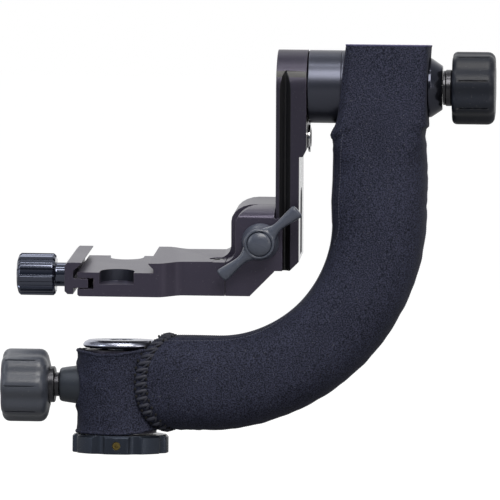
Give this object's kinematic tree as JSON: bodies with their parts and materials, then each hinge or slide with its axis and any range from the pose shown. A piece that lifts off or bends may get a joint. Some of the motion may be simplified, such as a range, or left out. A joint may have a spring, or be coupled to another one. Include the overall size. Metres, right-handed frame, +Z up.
{
  "type": "gimbal tripod head",
  "caption": "Side-mount gimbal tripod head: sleeved L-shaped arm on a pan base, swing arm, sliding lens clamp platform and lock knobs.",
  "frame": {"origin": "centre of the base's underside, on the pan axis, where the tripod's stud enters", "axes": "+Z up along the pan axis, +X towards the tilt lock knob, parallel to the tilt axis, +Y away from the side shown in the picture"},
  "size_m": [0.295, 0.0839, 0.246],
  "materials": {
    "anodised": "black anodised, satin, with a slight purple cast",
    "dark_steel": "blackened",
    "bright_steel": "ground",
    "brass": "plain",
    "polished_black": "black anodised, polished",
    "neoprene": "knit-faced neoprene, navy black",
    "rubber": "matt dark grey",
    "plastic": "blue grey, fine texture"
  },
  "bodies": {
    "base": {"tripod_base": "anodised", "base_set_screw": "brass", "tripod_thread_insert": "bright_steel", "pan_shaft": "bright_steel", "pan_shaft_screw_1": "dark_steel", "pan_shaft_screw_2": "dark_steel", "pan_shaft_screw_3": "dark_steel", "pan_cap": "polished_black", "pan_cap_bolt": "dark_steel", "pan_lower_inner_race": "bright_steel", "pan_lower_balls": "bright_steel", "pan_upper_inner_race": "bright_steel", "pan_upper_balls": "bright_steel"},
    "pan_arm": {"c_arm": "anodised", "arm_sleeve": "neoprene", "pan_lower_outer_race": "bright_steel", "pan_upper_outer_race": "bright_steel", "pan_circlip": "dark_steel", "pan_lock_boss": "anodised", "tilt_bearing_housing": "polished_black", "tilt_left_outer_race": "bright_steel", "tilt_right_outer_race": "bright_steel", "tilt_flange": "polished_black"},
    "pan_brake": {"pan_brake_shoe": "brass"},
    "pan_lock": {"pan_lock_grip": "rubber", "pan_lock_collar": "dark_steel", "pan_lock_screw": "bright_steel"},
    "tilt_brake": {"tilt_brake_pad": "brass"},
    "tilt_lock": {"tilt_lock_grip": "rubber", "tilt_lock_collar": "dark_steel", "tilt_lock_screw": "bright_steel"},
    "swing": {"swing_arm": "anodised", "tilt_shaft": "bright_steel", "tilt_left_inner_race": "bright_steel", "tilt_left_balls": "bright_steel", "tilt_right_inner_race": "bright_steel", "tilt_right_balls": "bright_steel", "tilt_lock_nut": "dark_steel", "swing_arm_screw_1": "dark_steel", "swing_arm_screw_2": "dark_steel", "swing_arm_screw_3": "dark_steel", "swing_arm_plug": "dark_steel", "platform_stop_pin": "bright_steel"},
    "platform": {"platform": "anodised", "platform_screw": "dark_steel", "clamp_thread_bush": "brass", "wing_thread_bush": "brass"},
    "height_jaw": {"height_jaw": "anodised"},
    "height_knob": {"height_knob": "plastic", "height_knob_cap": "plastic", "height_knob_stud": "bright_steel"},
    "clamp_jaw": {"clamp_jaw": "anodised"},
    "clamp_knob": {"clamp_knob": "polished_black", "clamp_screw": "bright_steel"}
  },
  "joints": [
    {"name": "pan", "type": "hinge", "parent": "base", "child": "pan_arm", "pos_m": [0, 0, 0.0375], "axis": [0, 0, 1], "continuous": true},
    {"name": "pan_brake_travel", "type": "slide", "parent": "pan_arm", "child": "pan_brake", "axis": [-1, 0, 0], "range_m": [0, 0.0015]},
    {"name": "pan_lock_turn", "type": "hinge", "parent": "pan_brake", "child": "pan_lock", "pos_m": [-0.05, 0, 0.0402], "axis": [-1, 0, 0], "range_deg": [0, 360]},
    {"name": "tilt", "type": "hinge", "parent": "pan_arm", "child": "swing", "pos_m": [0.14, 0, 0.221], "axis": [1, 0, 0], "continuous": true},
    {"name": "tilt_brake_travel", "type": "slide", "parent": "pan_arm", "child": "tilt_brake", "axis": [1, 0, 0], "range_m": [0, 0.0015]},
    {"name": "tilt_lock_turn", "type": "hinge", "parent": "tilt_brake", "child": "tilt_lock", "pos_m": [0.2, 0, 0.221], "axis": [1, 0, 0], "range_deg": [0, 360]},
    {"name": "platform_travel", "type": "slide", "parent": "swing", "child": "platform", "axis": [0, -0.1045, 0.9945], "range_m": [0, 0.05]},
    {"name": "jaw_travel", "type": "slide", "parent": "platform", "child": "height_jaw", "axis": [0, -0.9945, -0.1045], "range_m": [0, 0.0012]},
    {"name": "height_knob_turn", "type": "hinge", "parent": "height_jaw", "child": "height_knob", "pos_m": [0.0843, 0.00946, 0.131], "axis": [0, -0.9945, -0.1045], "range_deg": [0, 360]},
    {"name": "clamp_travel", "type": "slide", "parent": "platform", "child": "clamp_jaw", "axis": [1, 0, 0], "range_m": [0, 0.00219]},
    {"name": "clamp_knob_turn", "type": "hinge", "parent": "clamp_jaw", "child": "clamp_knob", "pos_m": [-0.05, 0.01209, 0.10593], "axis": [1, 0, 0], "range_deg": [0, 630]}
  ],
  "couplings": [
    {"joint": "pan_lock_turn", "follows": "pan_brake_travel", "rad_per_m": 4188.8},
    {"joint": "tilt_lock_turn", "follows": "tilt_brake_travel", "rad_per_m": 4188.8},
    {"joint": "height_knob_turn", "follows": "jaw_travel", "rad_per_m": 5236},
    {"joint": "clamp_knob_turn", "follows": "clamp_travel", "rad_per_m": 5026.5}
  ]
}
